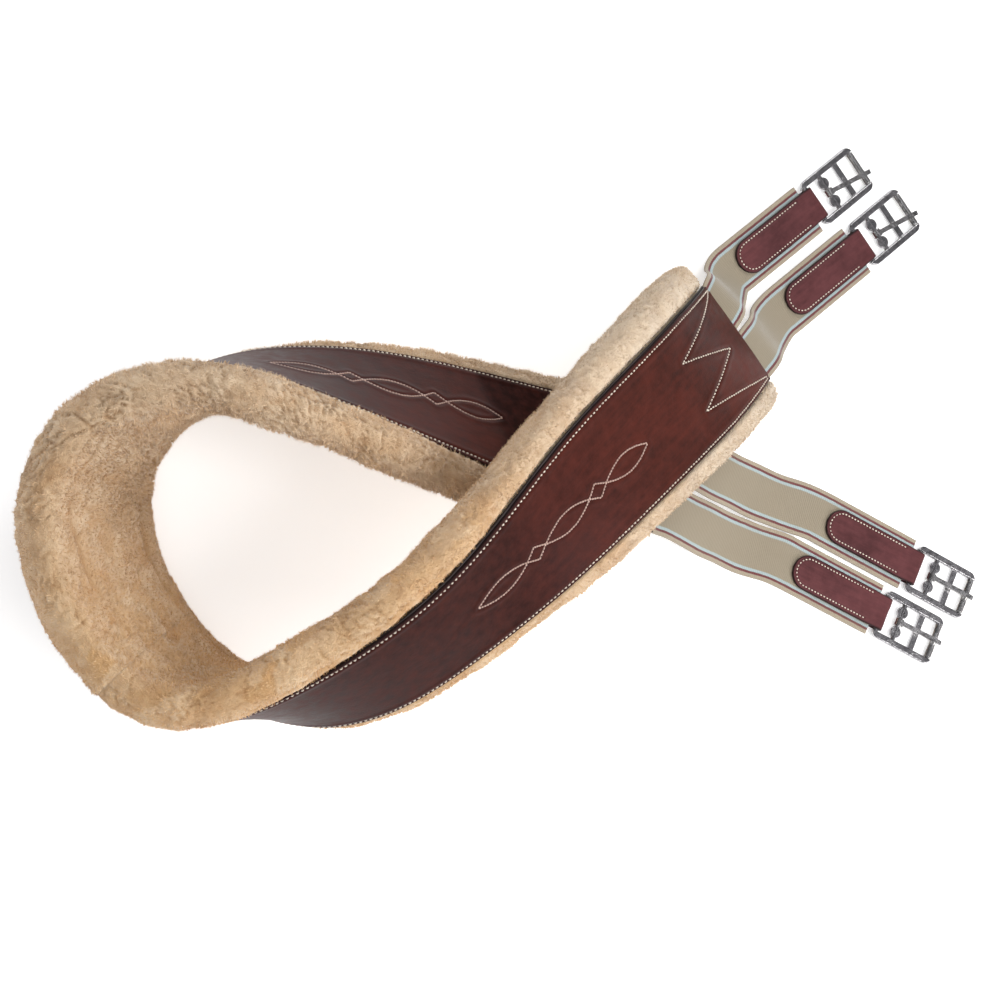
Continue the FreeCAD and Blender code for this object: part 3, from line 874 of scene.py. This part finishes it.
def build_wool():
    """The pile with its lumps, clumps and partings, as two halves of one pad."""
    rows, columns = 660, 176
    s = np.linspace(-7.5, SHOWN_END + 3.0, rows)
    ring, total, covered = pile_ring(columns)
    w, n = pile_outline(s, ring)
    points = strap_points(s, w, n)
    normals = outward_normals(points)
    along = by_row(s, w)
    around = np.broadcast_to(np.arange(columns) * total / columns, w.shape)
    loop = smooth_step(along, 200, 420) * (1 - 0.7 * smooth_step(along, 860, 1010))
    crisp = smooth_step(along, 600, 690) * (1 - 0.6 * smooth_step(along, 900, 1000))
    free = np.broadcast_to(np.where(covered, 0.0, 1.0), w.shape)
    warp_s = along + 8 * noise(points, 15.0, 71) + 3.0 * noise(points, 5.0, 73)
    warp_u = around + 7 * noise(points, 14.0, 72) + 3.0 * noise(points, 5.0, 74)
    near, second, tag = clumps(warp_s / 1.35, warp_u, 13.0, 3)
    small_near, small_second, small_tag = clumps(warp_s / 1.2, warp_u + 40, 5.2, 9)
    gap, small_gap = second - near, small_second - small_near
    crack = np.exp(-((gap / 0.95) ** 2)) * smooth_step(noise(points, 16.0, 79), -0.1, 0.4)
    small_crack = np.exp(-((small_gap / 0.8) ** 2)) * smooth_step(noise(points, 22.0, 80), -0.1, 0.5)
    valley = np.maximum(crack * (0.25 + 0.3 * loop + 0.35 * crisp), small_crack * (0.35 + 0.55 * crisp))
    valley = np.maximum(valley, long_partings(points, along, w, n))
    height = 0.9 + (1.2 + 0.8 * loop) * layered(points, 38.0, 77)
    height += (0.65 + 0.2 * loop) * noise(points, 9.0, 81) + 0.35 * noise(points, 3.0, 78)
    height += (0.7 + 0.5 * crisp) * (np.clip(small_gap, 0, 3) / 3 - 0.45)
    height -= 1.7 * valley
    beside = smooth_step(np.abs(w) - half_width(along), 1.5, 8)
    height = np.clip(height, -3.6, 3.2) * (0.35 + 0.65 * np.where(n > -8, beside, 1.0))
    points = points + normals * (height * free)[..., None]
    lift(points, 0.35)
    # darker low in the pile and in the partings: partly the roots' colour, partly painted shade
    depth = np.clip(0.72 + 0.1 * height, 0, 1) * (1 - 0.9 * valley)
    warm = warmth(along)
    marks = {"along": along, "around": around, "warm": warm, "depth": depth, "clump": tag}
    half = rows // 2
    for name, part in (("fleece_arm_a", slice(0, half + 1)), ("fleece_arm_b", slice(half, rows))):
        thing = ring_mesh(name, points[part], {key: value[part] for key, value in marks.items()})
        settle(thing, "pad", WOOL, ["sheepskin_wool"])
    fields = {"crisp": crisp, "valley": valley, "small_tag": small_tag, **marks}
    grow_fibres(points, outward_normals(points), free, fields)


def grow_fibres(points, normals, free, fields):
    """Wool tips: short curved ribbons that lean a little with their clump."""
    rows, columns = points.shape[:2]
    count = 330000
    rng = np.random.default_rng(2024)
    r = rng.uniform(0, rows - 1.001, count)
    c = rng.uniform(0, columns, count)
    i, j = r.astype(int), c.astype(int) % columns
    k = (j + 1) % columns
    a, b = (r - i)[:, None], (c - np.floor(c))[:, None]
    root = (points[i, j] * (1 - a) + points[i + 1, j] * a) * (1 - b)
    root += (points[i, k] * (1 - a) + points[i + 1, k] * a) * b
    keep = (free[i, j] > 0.5) & (free[i, k] > 0.5)
    keep &= (normals[i, j, 2] > -0.55) | (rng.uniform(0, 1, count) < 0.3)
    root, i, j = root[keep], i[keep], j[keep]
    count = len(root)
    here = {key: value[i, j] for key, value in fields.items()}
    out = normals[i, j]
    along = unit(points[np.minimum(i + 1, rows - 1), j] - points[np.maximum(i - 1, 0), j])
    around = unit(np.cross(out, along))
    turn, small_turn = here["clump"] * 2 * np.pi, here["small_tag"] * 2 * np.pi
    pull = 0.2 + 0.3 * here["crisp"]
    lean_a = 0.35 * np.cos(turn) + 0.15 + pull * np.cos(small_turn)
    lean_b = 0.35 * np.sin(turn) + pull * np.sin(small_turn)
    jitter = rng.normal(0, 0.28, (count, 2))
    lean = along * (lean_a + jitter[:, 0])[:, None] + around * (lean_b + jitter[:, 1])[:, None]
    lean[:, 2] -= 0.1
    lean = lean * 1.25
    length = (2.1 + 1.0 * here["crisp"]) * rng.uniform(0.6, 1.25, count)
    length = (length * (1 - 0.55 * here["valley"]))[:, None]
    curl = rng.normal(0, 0.25, (count, 3))
    root = root - out * 0.5
    middle = root + unit(out + 0.5 * lean + curl * 0.4) * length * 0.55
    tip = middle + unit(0.7 * out + lean + curl) * length * 0.5
    for spot in (root, middle, tip):
        lift(spot, 0.2)
    side = unit(np.cross(tip - root, out + rng.normal(0, 0.5, (count, 3))))
    side = side * rng.uniform(0.12, 0.24, count)[:, None]
    corners = [root - side, root + side, middle + side * 0.85, middle - side * 0.85, tip]
    corners = np.stack(corners, 1)
    clump = np.clip(here["small_tag"] * 0.35 + rng.uniform(0, 0.65, count), 0, 1)
    marks = {
        # darker roots: partly their own colour, partly painted shade low in the pile
        "depth": np.clip(here["depth"][:, None] * [0.75, 0.75, 0.95, 0.95, 1.15], 0, 1),
        "clump": np.repeat(clump[:, None], 5, 1),
        "warm": np.repeat(here["warm"][:, None], 5, 1),
    }
    for group, pick in enumerate(np.array_split(np.argsort(i, kind="stable"), 5)):
        first = np.arange(len(pick))[:, None] * 5
        faces = [first + [0, 1, 2, 3], first + [3, 2, 4]]
        part = {key: value[pick] for key, value in marks.items()}
        thing = make_mesh("fleece_tips_%d" % group, corners[pick], faces, part)
        settle(thing, "pad", FIBRE)


# ---- elastics and tabs

# shares of the way from the body to the flat run, and the elastic's height there
STEP_DOWN = {
    "A": [(0.30, 27.0), (0.62, 12.0)],
    "B": [(0.20, 24.5), (0.48, 11.0), (0.76, 4.2)],
}
ELASTIC_TAIL = 40.0
CHAPE_LENGTH = 78.0
CHAPE_HALF_WIDTH = 12.5
STITCH_INSET = 2.7
UP = np.array([0, 0, 1.0])


def bar_place(bar_x, bar_y, heading):
    """Middle of a tab's bar and the way the strap runs there."""
    angle = math.radians(heading)
    return np.array([bar_x, bar_y, BAR_HEIGHT]), np.array([math.cos(angle), math.sin(angle), 0.0])


def elastic_frames(end, side, bar, run):
    """Rows of centre, width direction and normal along an elastic, from its tail, and two ends."""
    flip = -1 if end == "A" else 1
    inside = np.linspace(ELASTIC_TAIL, 0.0, 28)
    point, along, across, out = body_frame(inside if end == "A" else LENGTH - inside)
    centre = point + across * (side * 20.0) + out * 0.95
    mouth = centre[-1]
    level_start = bar - run * (CHAPE_LENGTH + 5)
    foot = mouth * [1, 1, 0]
    travel = level_start * [1, 1, 0] - foot
    spots = [foot + travel * share + UP * height for share, height in STEP_DOWN[end]]
    spots = np.array([mouth, *spots, level_start])
    marks = distances(spots)
    slopes = spline_slopes(marks, spots, flip * along[-1], run)
    places = np.linspace(0, marks[-1], max(40, int(marks[-1] / 1.2)))[1:]
    bend, way = spline_at(marks, spots, slopes, places)
    way = unit(way)
    share = np.clip(1 - places / marks[-1] * 14 / 6, 0, 1)[:, None]
    level = unit(np.cross(UP, way)) * flip
    bend_across = unit(across[-1] * share + level * (1 - share))
    reach = CHAPE_LENGTH - 1.5
    flat = level_start + run * np.linspace(0, reach, int(reach / 1.3))[1:, None]
    flat_across = unit(np.cross(UP, run) * flip) + np.zeros_like(flat)
    centres = np.concatenate([centre, bend, flat])
    acrosses = np.concatenate([across, bend_across, flat_across])
    outs = np.concatenate([out, np.cross(way, bend_across) * flip, UP + np.zeros_like(flat)])
    return centres, acrosses, outs, mouth, level_start


def build_elastic(name, end, side, *bar_row):
    """Striped elastic, rippled where it runs free."""
    bar, run = bar_place(*bar_row)
    centres, acrosses, outs, mouth, level_start = elastic_frames(end, side, bar, run)
    gone = distances(centres)
    ring = flat_section(19.0, 0.95, 0.7, 46)
    w = np.broadcast_to(ring[:, 0], (len(gone), len(ring)))
    along = by_row(gone, w)
    seed = 100 + 7 * ord(name[0]) + int(name[1])
    free = smooth_step(along, 42, 60) * (1 - smooth_step(along, gone[-1] - 84, gone[-1] - 70))
    places = np.stack([along, w, 0 * w], -1)
    ripple = 0.45 * noise(places, 24.0, seed) * free
    curl = 0.5 * (np.abs(w) / 19.0) ** 3 * free * noise(places * [1, 0, 0], 30.0, seed + 1)
    rib = 0.05 * np.sin(along * 2 * np.pi / 2.9) * np.sign(ring[:, 1])
    wide = w * (1 + 0.012 * np.sin(along / 6.0) * free)
    points = centres[:, None] + acrosses[:, None] * wide[..., None]
    points = points + outs[:, None] * (ring[:, 1] + rib + ripple + curl)[..., None]
    lift(points, 0.3)
    thing = ring_mesh("elastic_%s_web" % name, points, {"along": along, "across": w})
    settle(thing, None, ELASTIC, ["elastic_" + name])
    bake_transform(thing)


def chape_path():
    """Middle line of the folded strip in the tab's own plane, and its normals."""
    flat_z, fold_r = 2.25, 3.25
    top = pair(np.linspace(-CHAPE_LENGTH, -10.0, 62), flat_z)
    slope = pair(np.linspace(-10, 0, 9), np.linspace(flat_z, fold_r, 9))[1:]
    angle = np.linspace(np.pi / 2, -np.pi / 2, 16)[1:]
    fold = fold_r * pair(np.cos(angle), np.sin(angle))
    back = np.concatenate([top, slope])[::-1][1:] * [1, -1]
    path = np.concatenate([top, slope, fold, back])
    way = unit(np.gradient(path, axis=0))
    return path, pair(-way[:, 1], way[:, 0])


def build_chape(name, *bar_row):
    """Leather tab folded round the buckle's bar, domed and dented along its stitches."""
    path, normal = chape_path()
    bar, run = bar_place(*bar_row)
    level = np.cross(UP, run)
    x = path[:, 0]
    from_tip = x + CHAPE_LENGTH
    half = CHAPE_HALF_WIDTH
    nose = np.sqrt(np.clip(half**2 - (half - from_tip) ** 2, 0.35, None))
    reach = np.where(from_tip < half, nose, half) * (1 - 0.035 * smooth_step(x, -14, 0))
    ring = flat_section(1.0, 1.0, 0.05, 30)
    w = ring[:, 0] * reach[:, None]
    along = by_row(x, w)
    edge = np.minimum(reach[:, None] - np.abs(w), from_tip[:, None])
    n = ring[:, 1] * np.sqrt(np.clip(from_tip / 0.9, 0.35, 1))[:, None]
    share = np.clip(edge / 6.0, 0, 1)
    dome = 0.75 * np.sqrt(1 - (1 - share) ** 2) * (1 - smooth_step(along, -12, -4))
    row = np.abs(edge - STITCH_INSET)
    dent = np.where(along < -12.0, 0.35 * np.exp(-((row / 0.8) ** 2)), 0.0)
    seed = 300 + ord(name[0]) + int(name[1])
    lumps = 0.14 * noise(np.stack([along, w, n], -1), 8.0, seed)
    n = np.where(ring[:, 1] > 0.5, n + dome - dent + lumps, n)
    flat, height = (path[:, None, k] + normal[:, None, k] * n for k in (0, 1))
    points = bar + run * flat[..., None] + level * w[..., None] + UP * height[..., None]
    lift(points, 0.1)
    marks = {
        "along": along, "across": w, "edge": edge,
        "stitch": np.where(along < -12.0, row, 5.0), "shade": np.zeros(w.shape),
    }
    thing = ring_mesh("tab_%s_leather" % name, points, marks)
    settle(thing, "chape_" + name, TAB_LEATHER, ["chape_" + name])
    # U of stitches on both faces
    inset = half - STITCH_INSET
    straight = np.arange(-13.0, -CHAPE_LENGTH + half, -0.5)
    arc = np.linspace(0, np.pi, 60)
    line = np.concatenate([
        pair(straight, inset),
        pair(-CHAPE_LENGTH + half - inset * np.sin(arc), inset * np.cos(arc)),
        pair(straight[::-1], -inset),
    ])
    spot, direction = resample(line, 2.6)
    ways = run * direction[:, :1] + level * direction[:, 1:]
    for face, label, height in ((1, "top", 3.63), (-1, "under", -3.55)):
        centres = bar + run * spot[:, :1] + level * spot[:, 1:] + UP * height
        lift(centres, 0.5)
        ups = face * UP + np.zeros_like(centres)
        thing = stitches("tab_%s_stitches_%s" % (name, label), centres, ways, ups, 1.08, 0.4, 0.5)
        settle(thing, "chape_" + name, THREAD)


# ---- build

build_leather()
build_backing()
build_inner_layers()
build_wool()
leather_stitches("border_stitches", BORDERS + ZIGZAGS, 3.1, 1.2, 0.45, -0.05, THREAD)
leather_stitches("motif_stitches", MOTIFS, 2.1, 1.15, 0.5, -0.1, FINE_THREAD)
for key, row in FITTINGS.items():
    build_elastic(key, *row)
    build_chape(key, *row[2:])
for key, node in frame["nodes"].items():
    if key.startswith(("buckle_frame", "tongue", "roller")):
        node.data.materials.clear()
        node.data.materials.append(STEEL if key.startswith("buckle_frame") else BRIGHT)

# ---- floor, light, camera


def floor_look():
    """Pale matt floor that glows a little, so that shadows on it stay soft."""
    look = Look("pale_floor")
    speck = look.remap(look.noise(look.place(), 3.0, 2.0), 0.3, 0.7)
    return look.finish(Base_Color=look.mix(speck, (0.86, 0.86, 0.86), (0.9, 0.9, 0.9)), Roughness=0.9,
                       Specular_IOR_Level=0.0, Emission_Color=(1.0, 1.0, 1.0), Emission_Strength=0.46)


def build_floor(half):
    """Square floor."""
    mesh = bpy.data.meshes.new("studio_floor")
    corners = [(-half, -half, 0), (half, -half, 0), (half, half, 0), (-half, half, 0)]
    mesh.from_pydata(corners, [], [(0, 1, 2, 3)])
    mesh.materials.append(floor_look())
    floor = bpy.data.objects.new("studio_floor", mesh)
    bpy.context.scene.collection.objects.link(floor)


# tones of the studio that steel mirrors, from one side to the other
BANDS = [
    (0.0, 0.15), (0.36, 0.06), (0.42, 0.15), (0.455, 1.15), (0.52, 0.85), (0.545, 0.2), (0.6, 0.08),
    (0.635, 0.75), (0.66, 0.1), (0.8, 0.06), (1.0, 0.2),
]


def build_world():
    """White surroundings, which surfaces mirror as dark ones with a few bright bands."""
    world = bpy.data.worlds.new("studio")
    world.use_nodes = True
    sky = Nodes(world.node_tree)
    plain = sky.tree.nodes["Background"]
    plain.inputs["Color"].default_value = (1.0, 1.0, 1.0, 1)
    plain.inputs["Strength"].default_value = 0.66
    way = sky.node("TexCoord", out="Generated")
    streaks = sky.times_plus(sky.node("TexNoise", Vector=way, Scale=6.0), 0.4, 0.275)
    level = sky.times_plus(sky.node("SeparateXYZ", out="Y", Vector=way), 0.5, streaks)
    tones = sky.ramp(level, [(at, (tone, 0.98 * tone, 1.03 * tone)) for at, tone in BANDS])
    mirrored = sky.node("Background", Color=tones, Strength=0.7)
    glossy = sky.node("LightPath", out="Is Glossy Ray")
    either = sky.fill("MixShader", glossy, plain.outputs[0], mirrored)
    sky.put(sky.tree.nodes["World Output"].inputs["Surface"], either)
    bpy.context.scene.world = world


def area_light(name, place, target, width, power, shows=True):
    """Square soft box; shows says whether surfaces mirror it."""
    data = bpy.data.lights.new(name, "AREA")
    data.energy = power
    data.size = width
    lamp = bpy.data.objects.new(name, data)
    bpy.context.scene.collection.objects.link(lamp)
    lamp.location = place
    lamp.visible_camera = False
    lamp.visible_glossy = shows
    lamp.rotation_mode = "QUATERNION"
    lamp.rotation_quaternion = (Vector(target) - Vector(place)).to_track_quat("-Z", "Y")


def build_camera(tilt, turn, distance, half_view):
    """Camera that looks at the layout frame's origin, down by tilt and turned from +X by turn."""
    tilt, turn = math.radians(tilt), math.radians(turn)
    flat = math.cos(tilt)
    aim = np.array([flat * math.cos(turn), flat * math.sin(turn), -math.sin(tilt)])
    upward = np.array([0.0, 1.0, 0.0])
    upward = unit(upward - aim * (upward @ aim))
    data = bpy.data.cameras.new("main_view")
    data.sensor_width = 36.0
    data.lens = data.sensor_width / 2 / math.tan(math.radians(half_view))
    camera = bpy.data.objects.new("main_view", data)
    bpy.context.scene.collection.objects.link(camera)
    spin = np.stack([np.cross(aim, upward), upward, -aim], 1)
    camera.matrix_world = Matrix.Translation(SHIFT - aim * distance) @ Matrix(spin.tolist()).to_4x4()
    bpy.context.scene.camera = camera


build_floor(6.0)
build_world()
area_light("key", (0.55, 1.35, 1.5), (0.0, 0.0, 0.05), 0.8, 11.0)
area_light("fill", (-1.2, -0.5, 1.5), (0.0, 0.0, 0.05), 1.6, 4.0)
area_light("front", (1.15, -1.0, 1.1), (-0.25, 0.0, 0.05), 1.0, 15.0)
area_light("inner", (0.30, -0.22, 0.75), (-0.26, 0.02, 0.04), 0.35, 3.4, False)
build_camera(68.0, 12.0, 1.5688, 12.0)
bpy.context.scene.view_settings.view_transform = "Standard"
